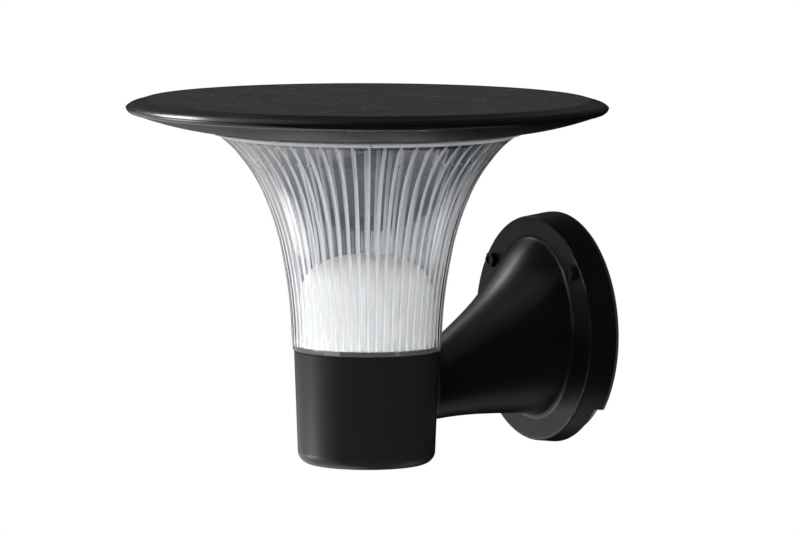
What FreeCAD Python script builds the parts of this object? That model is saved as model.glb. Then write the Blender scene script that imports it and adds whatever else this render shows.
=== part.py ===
import FreeCAD, Part
import math
import os
import re
import Sketcher

os.makedirs("parts", exist_ok=True)

# Solar fence light: a round solar head on a fluted clear lens, which stands in a cup at the end
# of a horn-shaped arm. The arm grows out of a thick round canopy that is fastened to the fence.
# Frame: +Z is up and the fence is the plane Y = 0, with the light on its -Y side. The origin is
# the centre of the canopy's back. The lamp's own axis is vertical, axis_reach in front of it.
# Heights of the lamp's pieces count from the plane of the disc's widest edge, and are negative
# below it.

VECTOR = FreeCAD.Vector

SIZES = {
    # Where the lamp stands in front of the fence, and how far its widest edge is above the canopy
    "axis_reach": 116.0,
    "rim_height": 120.6,
    # Play between pieces that turn or slide, and between pieces that are only put together
    "turning_gap": 0.3,
    "sliding_gap": 0.1,
    "fitting_gap": 0.2,
    "thread_play": 0.05,
    # Solar panel: glass on cells on a board
    "glass_radius": 115.4,
    "glass_thick": 2.0,
    "glass_sink": 0.2,
    "cell_thick": 0.4,
    "cell_field_radius": 112.0,
    "cell_width": 17.3,
    "cell_length": 39.0,
    "cell_spacing": 0.4,
    "cell_turn": 17.0,
    "board_thick": 1.6,
    # Top housing: a shallow tray for the panel with a rolled rim
    "rim_radius": 125.0,
    "rim_top": 3.9,
    "rim_cone_radius": 120.5,
    "rim_cone_height": 2.4,
    "rim_roll_radius": 123.6,
    "rim_roll_height": 1.2,
    "seam_radius": 122.2,
    "seam_depth": 2.9,
    "under_roll_radius": 124.3,
    "under_roll_depth": 1.6,
    "floor_thick": 1.6,
    "tongue_thick": 1.8,
    "tongue_length": 1.0,
    "panel_lead_hole": 4.0,
    "lead_hole_place": 6.0,
    # Dish: the lower half of the head
    "dish_radius": 121.6,
    "dish_mid_radius": 100.0,
    "dish_mid_depth": 9.2,
    "dish_foot_radius": 80.5,
    "dish_depth": 12.2,
    "dish_wall": 2.0,
    "dish_rim_wall": 10.0,
    "skirt_wall": 2.4,
    "skirt_length": 4.4,
    "lug_reach": 1.8,
    "lug_thick": 1.6,
    "lug_width": 24.0,
    "lug_count": 3,
    "flange_bore": 69.4,
    "seal_groove_radius": 73.0,
    "seal_groove_width": 4.0,
    "seal_groove_depth": 1.0,
    "seal_proud": 0.3,
    "rim_seal_radius": 114.5,
    "rim_seal_width": 1.4,
    "rim_seal_thick": 1.0,
    # Screws that pull the dish up to the top housing
    "head_screw_circle": 60.0,
    "head_screw_count": 4,
    "head_screw_radius": 1.5,
    "head_screw_length": 9.0,
    "head_screw_head": 2.8,
    "head_boss_radius": 3.6,
    # Battery
    "tray_length": 62.0,
    "tray_width": 42.0,
    "tray_wall": 1.2,
    "tray_floor": 1.0,
    "tray_side": 5.0,
    "battery_thick": 5.8,
    "battery_place": 25.0,
    # Charge controller
    "control_length": 46.0,
    "control_width": 28.0,
    "control_thick": 1.6,
    "control_place": 28.0,
    "control_post": 1.5,
    "control_post_radius": 2.2,
    "control_post_inset": 3.5,
    "control_screw_radius": 0.9,
    "control_screw_head": 1.7,
    "chip_size": 8.0,
    "chip_tall": 2.0,
    "coil_size": 7.0,
    "coil_tall": 4.0,
    "plug_length": 8.0,
    "plug_width": 5.0,
    "plug_tall": 4.0,
    "part_aside": 8.0,
    "chip_back": 4.0,
    "plug_front": 8.0,
    # Light source under the dish
    "led_board_radius": 33.0,
    "led_board_thick": 1.6,
    "led_circle": 22.0,
    "led_count": 12,
    "led_size": 3.0,
    "led_thick": 0.7,
    "led_screw_circle": 13.0,
    "led_screw_radius": 1.2,
    "led_screw_head": 2.2,
    "led_screw_count": 3,
    "cover_radius": 38.0,
    "cover_depth": 4.6,
    "cover_wall": 1.4,
    # Push switch under the dish
    "switch_place": 98.0,
    "switch_boss_radius": 9.0,
    "switch_boss_wall": 1.8,
    "switch_boss_depth": 13.6,
    "button_radius": 3.6,
    "button_collar": 1.2,
    "button_collar_thick": 1.2,
    "button_proud": 2.4,
    "button_travel": 1.2,
    "switch_seal_thick": 0.9,
    "switch_seal_width": 1.5,
    # Lens: radius of its outside at stations down from the rim plane
    "flange_radius": 80.5,
    "flange_thick": 1.6,
    "bell_radius_a": 77.4,
    "bell_radius_b": 72.2,
    "bell_radius_c": 65.4,
    "bell_radius_d": 58.6,
    "bell_radius_e": 52.9,
    "bell_radius_f": 47.6,
    "bell_radius_g": 43.4,
    "bell_radius_h": 40.5,
    "bell_radius_i": 39.0,
    "bell_depth_b": 18.5,
    "bell_depth_c": 26.0,
    "bell_depth_d": 35.6,
    "bell_depth_e": 47.0,
    "bell_depth_f": 61.5,
    "bell_depth_g": 79.5,
    "bell_depth_h": 98.0,
    "bell_depth_i": 119.0,
    "lens_wall": 2.8,
    "lens_foot_radius": 38.4,
    "lens_foot_depth": 126.1,
    "lens_foot_thick": 2.5,
    "lens_foot_bore": 24.0,
    "flute_count": 56,
    "flute_depth": 1.3,
    "flute_share": 0.5,
    "mark_angle": -28.0,
    "mark_width": 0.9,
    "mark_depth": 0.7,
    "bayonet_play": 3.0,
    "twist_angle": 30.0,
    "stop_width": 2.0,
    "stop_play": 0.5,
    # Screws that hold the lens down in the cup
    "lens_screw_circle": 29.0,
    "lens_screw_count": 3,
    "lens_screw_radius": 1.5,
    "lens_screw_length": 9.0,
    "lens_screw_head": 2.6,
    "lens_screw_head_thick": 2.0,
    # Reflector dome
    "dome_top_depth": 77.0,
    "dome_flat_radius": 8.0,
    "dome_crown_radius": 16.5,
    "dome_crown_depth": 78.4,
    "dome_shoulder_radius": 24.0,
    "dome_shoulder_depth": 81.5,
    "dome_side_inset": 2.5,
    "dome_side_depth": 89.1,
    "dome_side_slope": 30.0,
    "dome_wide_depth": 100.0,
    "dome_wall": 1.8,
    "hook_width": 15.0,
    "hook_reach": 1.2,
    "hook_thick": 1.6,
    "hook_thinner": 0.2,
    # Cup
    "cup_top_radius": 37.8,
    "cup_bottom_radius": 35.8,
    "cup_bottom_depth": 185.6,
    "cup_edge_radius": 6.6,
    "cup_wall": 3.0,
    "cup_floor": 5.0,
    "cup_boss_radius": 6.0,
    "cup_screw_depth": 9.0,
    "base_gasket_thick": 0.8,
    # Canopy on the fence
    "canopy_back_radius": 61.0,
    "canopy_front_radius": 59.4,
    "canopy_depth": 15.8,
    "canopy_wall": 3.0,
    "canopy_edge": 1.5,
    "gasket_thick": 1.5,
    "relief_depth": 5.5,
    "relief_half_angle": 50.0,
    # Horn-shaped arm: stations out from the fence, each with its top, bottom and half width
    "arm_foot_top": 47.6,
    "arm_foot_bottom": 45.6,
    "arm_foot_half": 41.0,
    "arm_a_out": 28.0,
    "arm_a_top": 36.2,
    "arm_a_bottom": 44.2,
    "arm_a_half": 35.0,
    "arm_b_out": 44.6,
    "arm_b_top": 18.4,
    "arm_b_bottom": 43.5,
    "arm_b_half": 28.0,
    "arm_c_out": 62.8,
    "arm_c_top": 3.8,
    "arm_c_bottom": 43.6,
    "arm_c_half": 22.2,
    "arm_cup_out": 79.0,
    "arm_cup_top": -7.4,
    "arm_cup_bottom": 44.8,
    "arm_cup_half": 19.0,
    "arm_end_out": 95.0,
    "arm_end_top": -10.0,
    "arm_end_bottom": 45.0,
    "arm_end_half": 17.4,
    "arm_core_out": 74.0,
    "arm_wall": 3.2,
    "arm_crown_wall": 4.6,
    "arm_foot_fillet": 3.0,
    # Mounting plate and the two hexagon screws
    "plate_radius": 56.8,
    "plate_thick": 2.0,
    "plate_bore": 26.0,
    "plate_hole_circle": 44.0,
    "plate_hole_radius": 2.6,
    "plate_hole_count": 4,
    "canopy_screw_circle": 52.0,
    "canopy_screw_angle": 51.0,
    "canopy_screw_radius": 2.0,
    "canopy_screw_head": 7.0,
    "canopy_screw_head_thick": 2.8,
    "canopy_screw_length": 11.0,
    "canopy_screw_dish": 2.4,
    "canopy_screw_dish_depth": 0.7,
    "canopy_boss_radius": 5.4,
    "standoff_across": 7.0,
    "standoff_length": 7.8,
}

# Heights and radii that follow from the sizes above
DERIVED = {
    "glass_top": "rim_top - glass_sink",
    "cell_top": "glass_top - glass_thick",
    "board_top": "cell_top - cell_thick",
    "floor_top": "board_top - board_thick",
    "floor_bottom": "floor_top - floor_thick",
    "tray_radius": "glass_radius + fitting_gap",
    "tongue_outside": "dish_radius - dish_rim_wall - fitting_gap",
    "dish_inside": "dish_wall - dish_depth",
    "skirt_outside": "flange_bore - turning_gap",
    "skirt_inside": "skirt_outside - skirt_wall",
    "skirt_bottom": "-dish_depth - skirt_length",
    "flange_top": "-dish_depth - seal_proud - turning_gap",
    "flange_bottom": "flange_top - flange_thick",
    "battery_bottom": "dish_inside + tray_floor",
    "battery_top": "battery_bottom + battery_thick",
    "control_bottom": "dish_inside + control_post",
    "control_top": "control_bottom + control_thick",
    "led_top": "-dish_depth - led_board_thick",
    "switch_floor": "switch_boss_wall - switch_boss_depth",
    "switch_inside": "switch_boss_radius - switch_boss_wall",
    "collar_bottom": "switch_floor + switch_seal_thick + sliding_gap",
    "collar_top": "collar_bottom + button_collar_thick",
    "switch_bottom": "collar_top + button_travel + sliding_gap",
    "bell_depth_a": "-flange_bottom",
    "foot_bottom": "-lens_foot_depth",
    "foot_top": "lens_foot_thick - lens_foot_depth",
    "cup_top": "-lens_foot_depth - base_gasket_thick",
    "cup_inside": "cup_top_radius - cup_wall",
    "flute_inside": "bell_radius_i - lens_wall - flute_depth",
    "dome_radius": "flute_inside - fitting_gap",
    "dome_inside": "dome_radius - dome_wall",
    "hook_top": "foot_bottom - sliding_gap",
    "front_out": "canopy_depth",
    "ceiling_out": "canopy_depth - canopy_wall",
    "boss_end_out": "plate_thick + standoff_length",
}

WORD = re.compile(r"[a-z][a-z0-9_]*")

document = FreeCAD.newDocument("fence_light")
sheet = document.addObject("Spreadsheet::Sheet", "Sizes")
for row, (alias, number) in enumerate(SIZES.items(), 1):
    sheet.set("A%d" % row, str(number))
    sheet.setAlias("A%d" % row, alias)
document.recompute()


def formula(text):
    """The text with each size's name as its cell and each derived name written out."""
    def spell(match):
        word = match.group()
        if word in DERIVED:
            return "(" + formula(DERIVED[word]) + ")"
        if word in SIZES:
            return "Sizes." + word
        return word
    return WORD.sub(spell, text)


def value(text):
    """What the formula comes to now."""
    return float(sheet.evalExpression(formula(text)))


def bind(thing, prop, text):
    thing.setExpression(prop, formula(text))


def origin_of(body, role):
    return next(item for item in body.Origin.OriginFeatures if item.Role == role)


def stand_at_lamp(thing):
    """Put the piece's own origin on the lamp's axis, in the plane of the widest edge."""
    bind(thing, "Placement.Base.y", "-axis_reach")
    bind(thing, "Placement.Base.z", "rim_height")


def lamp_piece(label):
    body = document.addObject("PartDesign::Body", label)
    stand_at_lamp(body)
    return body


def fence_piece(label):
    return document.addObject("PartDesign::Body", label)


def new_sketch(body, plane, lift="0", across="0", along="0", turned="0"):
    """A sketch on the body's own plane, moved within it, off it, or turned about its own Y."""
    sketch = body.newObject("Sketcher::SketchObject", "Sketch")
    sketch.AttachmentSupport = [(origin_of(body, plane), "")]
    sketch.MapMode = "FlatFace"
    tilt = FreeCAD.Rotation(VECTOR(0, 1, 0), value(turned))
    sketch.AttachmentOffset = FreeCAD.Placement(VECTOR(0, 0, 0), tilt)
    if turned != "0":
        bind(sketch, "AttachmentOffset.Rotation.Angle", turned)
    for letter, text in zip("xyz", (across, along, lift)):
        if text != "0":
            bind(sketch, "AttachmentOffset.Base." + letter, text)
    return sketch


def pin_point(sketch, geometry, end, x, y):
    """Hold one end of a sketch element at formulas for its two coordinates."""
    for kind, text in (("DistanceX", x), ("DistanceY", y)):
        number = sketch.addConstraint(Sketcher.Constraint(kind, geometry, end, value(text)))
        bind(sketch, "Constraints[%d]" % number, text)


def circle_through(first, middle, last):
    """Centre and radius of the circle through three points."""
    circle = Part.Arc(first, middle, last).toShape().Curve
    return circle.Center, circle.Radius


def draw_outline(sketch, corners):
    """Closed outline. A corner is (x, y), or (x, y, via_x, via_y) where an arc leaves it."""
    points = [VECTOR(value(corner[0]), value(corner[1]), 0) for corner in corners]
    following = points[1:] + points[:1]
    starts = []
    ends = []
    for corner, here, there in zip(corners, points, following):
        if len(corner) == 2:
            edge = sketch.addGeometry(Part.LineSegment(here, there), False)
            starts.append((edge, 1))
            ends.append((edge, 2))
            continue
        via = VECTOR(value(corner[2]), value(corner[3]), 0)
        centre, radius = circle_through(here, via, there)
        leftward = (via - here).cross(there - via).z > 0
        first, last = (here, there) if leftward else (there, here)
        angles = [math.atan2(point.y - centre.y, point.x - centre.x) for point in (first, last)]
        circle = Part.Circle(centre, VECTOR(0, 0, 1), radius)
        edge = sketch.addGeometry(Part.ArcOfCircle(circle, *angles), False)
        starts.append((edge, 1 if leftward else 2))
        ends.append((edge, 2 if leftward else 1))
        mark = sketch.addGeometry(Part.Point(via), True)
        pin_point(sketch, mark, 1, corner[2], corner[3])
        sketch.addConstraint(Sketcher.Constraint("PointOnObject", mark, 1, edge))
    for index, corner in enumerate(corners):
        pin_point(sketch, *starts[index], corner[0], corner[1])
        sketch.addConstraint(Sketcher.Constraint("Coincident", *ends[index - 1], *starts[index]))


def draw_circle(sketch, x, y, radius):
    circle = Part.Circle(VECTOR(value(x), value(y), 0), VECTOR(0, 0, 1), value(radius))
    edge = sketch.addGeometry(circle, False)
    pin_point(sketch, edge, 3, x, y)
    number = sketch.addConstraint(Sketcher.Constraint("Radius", edge, value(radius)))
    bind(sketch, "Constraints[%d]" % number, radius)


def box_corners(low_x, low_y, high_x, high_y):
    return [(low_x, low_y), (high_x, low_y), (high_x, high_y), (low_x, high_y)]


def hexagon_corners(x, y, across):
    reach = "(%s) / 2 / cos(30)" % across
    return [("%s + %s * cos(%d)" % (x, reach, 60 * step), "%s + %s * sin(%d)" % (y, reach, 60 * step))
            for step in range(6)]


def spin(body, sketch, angle="360", cut=False, axis="V_Axis"):
    """Turn a sketch about one of its own axes, adding or cutting."""
    kind = "PartDesign::Groove" if cut else "PartDesign::Revolution"
    feature = body.newObject(kind, "Turned")
    feature.Profile = sketch
    feature.ReferenceAxis = (sketch, [axis])
    feature.Angle = value(angle)
    if angle != "360":
        bind(feature, "Angle", angle)
        feature.Midplane = True
    return feature


def turned_part(body, corners):
    sketch = new_sketch(body, "XZ_Plane")
    draw_outline(sketch, corners)
    return spin(body, sketch)


def sector(body, corners, angle, at="0", cut=False):
    """The outline turned through an angle, its middle at another angle round the lamp's axis."""
    sketch = new_sketch(body, "XZ_Plane", turned=at)
    draw_outline(sketch, corners)
    return spin(body, sketch, angle, cut)


def draw_oval(sketch, middle, half, tall):
    """Upright ellipse on the sketch's own vertical axis, from its half width and half height."""
    centre = VECTOR(0, value(middle), 0)
    side = centre + VECTOR(value(half), 0, 0)
    crown = centre + VECTOR(0, value(tall), 0)
    upright = value(tall) > value(half)
    long_end, short_end = (crown, side) if upright else (side, crown)
    edge = sketch.addGeometry(Part.Ellipse(long_end, short_end, centre), False)
    long_axis = edge + 1
    short_axis = edge + 2
    sketch.exposeInternalGeometry(edge)
    pin_point(sketch, edge, 3, "0", middle)
    for axis, end, across in ((long_axis, long_end, not upright), (short_axis, short_end, upright)):
        line = sketch.Geometry[axis]
        near = 1 if line.StartPoint.distanceToPoint(end) < line.EndPoint.distanceToPoint(end) else 2
        kind = "DistanceX" if across else "DistanceY"
        text = half if across else "%s + %s" % (middle, tall)
        number = sketch.addConstraint(Sketcher.Constraint(kind, axis, near, value(text)))
        bind(sketch, "Constraints[%d]" % number, text)
    along = Sketcher.Constraint("Vertical" if upright else "Horizontal", long_axis)
    sketch.addConstraint(along)


def extrude(body, sketch, length, upward=True, cut=False):
    """Pad or pocket by a length, along the sketch's normal or against it."""
    feature = body.newObject("PartDesign::Pocket" if cut else "PartDesign::Pad", "Extruded")
    feature.Profile = sketch
    bind(feature, "Length", length)
    feature.Reversed = upward if cut else not upward
    return feature


def drill_up(body, x, y, radius, start, depth):
    """A round hole that runs up from a height."""
    sketch = new_sketch(body, "XY_Plane", lift=start)
    draw_circle(sketch, x, y, radius)
    return extrude(body, sketch, depth, cut=True)


def post_up(body, x, y, radius, start, length):
    sketch = new_sketch(body, "XY_Plane", lift=start)
    draw_circle(sketch, x, y, radius)
    return extrude(body, sketch, length)


def repeat(body, feature, count, axis="Z_Axis"):
    """Copies of one feature round an axis of its body."""
    pattern = body.newObject("PartDesign::PolarPattern", "Repeated")
    pattern.Originals = [feature]
    pattern.Axis = (origin_of(body, axis), [""])
    pattern.Angle = 360
    bind(pattern, "Occurrences", count)
    body.Tip = pattern
    return pattern


# Solar head

def top_housing():
    """Tray for the panel with a rolled rim, a tongue into the dish and bosses for its screws."""
    body = lamp_piece("top_housing")
    tongue_inside = "tongue_outside - tongue_thick"
    turned_part(body, [
        ("0", "floor_top"),
        ("0", "floor_bottom"),
        (tongue_inside, "floor_bottom"),
        (tongue_inside, "-seam_depth - tongue_length"),
        ("tongue_outside", "-seam_depth - tongue_length"),
        ("tongue_outside", "-seam_depth"),
        ("seam_radius", "-seam_depth", "under_roll_radius", "-under_roll_depth"),
        ("rim_radius", "0", "rim_roll_radius", "rim_roll_height"),
        ("rim_cone_radius", "rim_cone_height"),
        ("tray_radius", "rim_top"),
        ("tray_radius", "floor_top"),
    ])
    boss = post_up(body, "head_screw_circle", "0", "head_boss_radius", "dish_inside",
                   "floor_bottom - dish_inside")
    repeat(body, boss, "head_screw_count")
    thread = drill_up(body, "head_screw_circle", "0", "head_screw_radius + thread_play",
                      "dish_inside", "floor_bottom - dish_inside")
    repeat(body, thread, "head_screw_count")
    drill_up(body, "0", "-lead_hole_place", "panel_lead_hole", "floor_bottom", "floor_thick")
    return body


def board_corners():
    """Places of the four posts that carry the controller board."""
    reach_x = "(control_length / 2 - control_post_inset)"
    reach_y = "(control_width / 2 - control_post_inset)"
    return [("%d * %s" % (side, reach_x), "%d * %s - control_place" % (end, reach_y))
            for side in (-1, 1) for end in (-1, 1)]


def head_dish():
    """Shallow dish with a hub that turns in the lens, lugs, a seal groove and a switch boss."""
    body = lamp_piece("head_dish")
    inner_rim = "dish_radius - dish_rim_wall"
    turned_part(body, [
        ("0", "-dish_depth"),
        ("skirt_inside", "-dish_depth"),
        ("skirt_inside", "skirt_bottom"),
        ("skirt_outside", "skirt_bottom"),
        ("skirt_outside", "-dish_depth"),
        ("seal_groove_radius", "-dish_depth"),
        ("seal_groove_radius", "seal_groove_depth - dish_depth"),
        ("seal_groove_radius + seal_groove_width", "seal_groove_depth - dish_depth"),
        ("seal_groove_radius + seal_groove_width", "-dish_depth"),
        ("dish_foot_radius", "-dish_depth", "dish_mid_radius", "-dish_mid_depth"),
        ("dish_radius", "-seam_depth"),
        (inner_rim, "-seam_depth"),
        (inner_rim, "-seam_depth - tongue_length - fitting_gap", "dish_mid_radius",
         "dish_wall - dish_mid_depth"),
        ("dish_foot_radius", "dish_inside"),
        ("0", "dish_inside"),
    ])
    lug = sector(body, [
        ("skirt_inside", "skirt_bottom"),
        ("skirt_outside + lug_reach", "skirt_bottom"),
        ("skirt_outside + lug_reach", "skirt_bottom + lug_thick"),
        ("skirt_inside", "skirt_bottom + lug_thick"),
    ], "lug_width")
    repeat(body, lug, "lug_count")
    groove = new_sketch(body, "XZ_Plane")
    draw_outline(groove, box_corners(
        "rim_seal_radius - rim_seal_width / 2", "-seam_depth - rim_seal_thick",
        "rim_seal_radius + rim_seal_width / 2", "-seam_depth"))
    spin(body, groove, cut=True)
    hole = drill_up(body, "head_screw_circle", "0", "head_screw_radius + fitting_gap",
                    "-dish_depth", "dish_wall")
    repeat(body, hole, "head_screw_count")
    drill_up(body, "0", "-lead_hole_place", "panel_lead_hole", "-dish_depth", "dish_wall")
    for x, y in board_corners():
        post_up(body, x, y, "control_post_radius", "dish_inside", "control_post")
        drill_up(body, x, y, "control_screw_radius + thread_play", "dish_inside", "control_post")
    led_hole = drill_up(body, "led_screw_circle", "0", "led_screw_radius + thread_play",
                        "-dish_depth", "dish_wall")
    repeat(body, led_hole, "led_screw_count")
    post_up(body, "-switch_place", "0", "switch_boss_radius", "-switch_boss_depth",
            "switch_boss_depth - seam_depth - tongue_length")
    drill_up(body, "-switch_place", "0", "switch_inside", "switch_floor",
             "dish_depth")
    drill_up(body, "-switch_place", "0", "button_radius + sliding_gap", "-switch_boss_depth",
             "switch_boss_depth")
    return body


def lens_seal():
    """Flat rubber ring in the dish's groove, just clear of the lens's flange."""
    body = lamp_piece("lens_seal")
    turned_part(body, box_corners(
        "seal_groove_radius", "-dish_depth - seal_proud",
        "seal_groove_radius + seal_groove_width", "seal_groove_depth - dish_depth"))
    return body


def rim_seal():
    """Rubber cord between the top housing and the dish."""
    body = lamp_piece("rim_seal")
    turned_part(body, box_corners(
        "rim_seal_radius - rim_seal_width / 2", "-seam_depth - rim_seal_thick",
        "rim_seal_radius + rim_seal_width / 2", "-seam_depth"))
    return body


def panel_board():
    body = lamp_piece("panel_board")
    sketch = new_sketch(body, "XY_Plane", lift="floor_top")
    draw_circle(sketch, "0", "0", "glass_radius")
    draw_circle(sketch, "0", "-lead_hole_place", "panel_lead_hole / 2")
    extrude(body, sketch, "board_thick")
    return body


def solar_cells():
    """Strip cells in rows that run across the head at an angle, as many as the circle holds."""
    pitch = value("cell_width + cell_spacing")
    step = value("cell_length + cell_spacing")
    radius = value("cell_field_radius")
    strips = int(radius // pitch)
    cells = []
    for strip in range(-strips, strips + 1):
        edge = abs(strip) * pitch + value("cell_width") / 2
        if edge >= radius:
            continue
        count = int(2 * math.sqrt(radius ** 2 - edge ** 2) // step)
        for place in range(count):
            cell = document.addObject("Part::Box", "Cell")
            bind(cell, "Length", "cell_width")
            bind(cell, "Width", "cell_length")
            bind(cell, "Height", "cell_thick")
            bind(cell, "Placement.Base.x",
                 "%d * (cell_width + cell_spacing) - cell_width / 2" % strip)
            bind(cell, "Placement.Base.y",
                 "%.1f * (cell_length + cell_spacing) - cell_length / 2" % (place - count / 2 + 0.5))
            cells.append(cell)
    group = document.addObject("Part::Compound", "solar_cells")
    group.Links = cells
    group.Placement = FreeCAD.Placement(VECTOR(0, 0, 0), FreeCAD.Rotation(VECTOR(0, 0, 1), 1))
    bind(group, "Placement.Rotation.Angle", "cell_turn")
    bind(group, "Placement.Base.y", "-axis_reach")
    bind(group, "Placement.Base.z", "rim_height + board_top")
    return group


def panel_glass():
    body = lamp_piece("panel_glass")
    sketch = new_sketch(body, "XY_Plane", lift="cell_top")
    draw_circle(sketch, "0", "0", "glass_radius")
    extrude(body, sketch, "glass_thick")
    return body


def screw_ring(label, circle, count, outline, at="0"):
    """Screws stood on a circle round the lamp's axis, each turned about its own axis."""
    body = lamp_piece(label)
    sketch = new_sketch(body, "XZ_Plane", across=circle)
    draw_outline(sketch, outline)
    screw = spin(body, sketch)
    repeat(body, screw, count)
    if at != "0":
        body.Placement.Rotation = FreeCAD.Rotation(VECTOR(0, 0, 1), value(at))
        bind(body, "Placement.Rotation.Angle", at)
    return body


def pan_screw(radius, head, seat, tip, head_thick, upward):
    """Half outline of a screw whose shank runs from its seat to its tip, head on the other side."""
    sign = "-" if upward else "+"
    top = "%s %s %s" % (seat, sign, head_thick)
    return [("0", top), (head, top), (head, seat), (radius, seat), (radius, tip), ("0", tip)]


def head_screws():
    return screw_ring("head_screws", "head_screw_circle", "head_screw_count", pan_screw(
        "head_screw_radius", "head_screw_head", "-dish_depth", "head_screw_length - dish_depth",
        "dish_wall", True))


def battery_tray():
    """Open tray glued to the dish's floor."""
    body = lamp_piece("battery_tray")
    outside = ("-tray_length / 2", "battery_place - tray_width / 2",
               "tray_length / 2", "battery_place + tray_width / 2")
    inside = ("tray_wall - tray_length / 2", "battery_place + tray_wall - tray_width / 2",
              "tray_length / 2 - tray_wall", "battery_place + tray_width / 2 - tray_wall")
    sketch = new_sketch(body, "XY_Plane", lift="dish_inside")
    draw_outline(sketch, box_corners(*outside))
    extrude(body, sketch, "tray_side")
    hollow = new_sketch(body, "XY_Plane", lift="battery_bottom")
    draw_outline(hollow, box_corners(*inside))
    extrude(body, hollow, "tray_side", cut=True)
    return body


def battery_slab(label, start, thick):
    """A flat piece that fills the tray's inside between two heights."""
    body = lamp_piece(label)
    play = "tray_wall + fitting_gap"
    sketch = new_sketch(body, "XY_Plane", lift=start)
    draw_outline(sketch, box_corners(
        play + " - tray_length / 2", "battery_place - tray_width / 2 + " + play,
        "tray_length / 2 - (%s)" % play, "battery_place + tray_width / 2 - (%s)" % play))
    extrude(body, sketch, thick)
    return body


def control_board():
    body = lamp_piece("control_board")
    sketch = new_sketch(body, "XY_Plane", lift="control_bottom")
    draw_outline(sketch, box_corners(
        "-control_length / 2", "-control_place - control_width / 2",
        "control_length / 2", "control_width / 2 - control_place"))
    for x, y in board_corners():
        draw_circle(sketch, x, y, "control_screw_radius + thread_play")
    extrude(body, sketch, "control_thick")
    return body


def board_parts():
    """Controller chip, coil and two plug sockets on the controller board."""
    body = lamp_piece("board_parts")
    blocks = (("-part_aside", "-chip_back", "chip_size", "chip_size", "chip_tall"),
              ("part_aside", "-chip_back", "coil_size", "coil_size", "coil_tall"),
              ("-part_aside", "plug_front", "plug_length", "plug_width", "plug_tall"),
              ("part_aside", "plug_front", "plug_length", "plug_width", "plug_tall"))
    for x, y, length, width, tall in blocks:
        sketch = new_sketch(body, "XY_Plane", lift="control_top", along="-control_place")
        draw_outline(sketch, box_corners(
            "%s - %s / 2" % (x, length), "%s - %s / 2" % (y, width),
            "%s + %s / 2" % (x, length), "%s + %s / 2" % (y, width)))
        extrude(body, sketch, tall)
    return body


def board_screws():
    """Four small screws that hold the controller board to its posts."""
    body = lamp_piece("board_screws")
    for x, y in board_corners():
        sketch = new_sketch(body, "XZ_Plane", across=x, lift="-(%s)" % y)
        draw_outline(sketch, pan_screw(
            "control_screw_radius", "control_screw_head", "control_top", "dish_inside",
            "control_screw_radius", False))
        spin(body, sketch)
    return body


def led_board():
    """Round aluminium board under the dish, with screw holes and a hole for its leads."""
    body = lamp_piece("led_board")
    sketch = new_sketch(body, "XY_Plane", lift="led_top")
    draw_circle(sketch, "0", "0", "led_board_radius")
    draw_circle(sketch, "0", "-lead_hole_place", "panel_lead_hole / 2")
    extrude(body, sketch, "led_board_thick")
    hole = drill_up(body, "led_screw_circle", "0", "led_screw_radius + thread_play", "led_top",
                    "led_board_thick")
    repeat(body, hole, "led_screw_count")
    return body


def leds():
    body = lamp_piece("leds")
    sketch = new_sketch(body, "XY_Plane", lift="led_top - led_thick")
    draw_outline(sketch, box_corners("led_circle - led_size / 2", "-led_size / 2",
                                     "led_circle + led_size / 2", "led_size / 2"))
    chip = extrude(body, sketch, "led_thick")
    repeat(body, chip, "led_count")
    return body


def led_screws():
    return screw_ring("led_screws", "led_screw_circle", "led_screw_count", pan_screw(
        "led_screw_radius", "led_screw_head", "led_top", "dish_inside",
        "led_screw_radius", True))


def led_cover():
    """Shallow opal cap over the light source."""
    body = lamp_piece("led_cover")
    bottom = "-dish_depth - cover_depth"
    turned_part(body, [
        ("0", bottom),
        ("cover_radius - cover_wall", bottom),
        ("cover_radius", bottom + " + cover_wall"),
        ("cover_radius", "-dish_depth"),
        ("cover_radius - cover_wall", "-dish_depth"),
        ("cover_radius - cover_wall", bottom + " + cover_wall"),
        ("0", bottom + " + cover_wall"),
    ])
    return body


def switch_body():
    """Latching push switch that fills the top of its boss, hollow above the button's collar."""
    body = lamp_piece("switch_body")
    sketch = new_sketch(body, "XZ_Plane", across="-switch_place")
    draw_outline(sketch, box_corners("0", "switch_bottom", "switch_inside - fitting_gap",
                                     "floor_bottom"))
    spin(body, sketch)
    return body


def switch_button():
    """Button with a collar inside the boss."""
    body = lamp_piece("switch_button")
    sketch = new_sketch(body, "XZ_Plane", across="-switch_place")
    draw_outline(sketch, [
        ("0", "-switch_boss_depth - button_proud"),
        ("button_radius - button_collar / 2", "-switch_boss_depth - button_proud"),
        ("button_radius", "-switch_boss_depth - button_proud + button_collar / 2"),
        ("button_radius", "collar_bottom"),
        ("button_radius + button_collar", "collar_bottom"),
        ("button_radius + button_collar", "collar_top"),
        ("0", "collar_top"),
    ])
    spin(body, sketch)
    return body


def switch_seal():
    """Rubber washer round the button on the floor of the boss."""
    body = lamp_piece("switch_seal")
    sketch = new_sketch(body, "XZ_Plane", across="-switch_place")
    draw_outline(sketch, box_corners(
        "button_radius + sliding_gap", "switch_floor",
        "button_radius + sliding_gap + switch_seal_width", "switch_floor + switch_seal_thick"))
    spin(body, sketch)
    return body


# Lens, reflector and what holds them

BELL = "abcdefghi"


def bell_side(inward, stations):
    """Stations down the lens's outside, moved in towards the axis, joined by arcs in pairs."""
    corners = []
    for index in range(0, len(stations) - 1, 2):
        here, middle = stations[index], stations[index + 1]
        corners.append(("bell_radius_%s - %s" % (here, inward), "-bell_depth_%s" % here,
                        "bell_radius_%s - %s" % (middle, inward), "-bell_depth_%s" % middle))
    corners.append(("bell_radius_%s - %s" % (stations[-1], inward),
                    "-bell_depth_%s" % stations[-1]))
    return corners


def reversed_side(corners):
    """The same run of arcs walked the other way."""
    places = [corner[:2] for corner in corners][::-1]
    vias = [corner[2:] for corner in corners[:-1]][::-1]
    return [place + via for place, via in zip(places, vias)] + [places[-1]]


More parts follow.
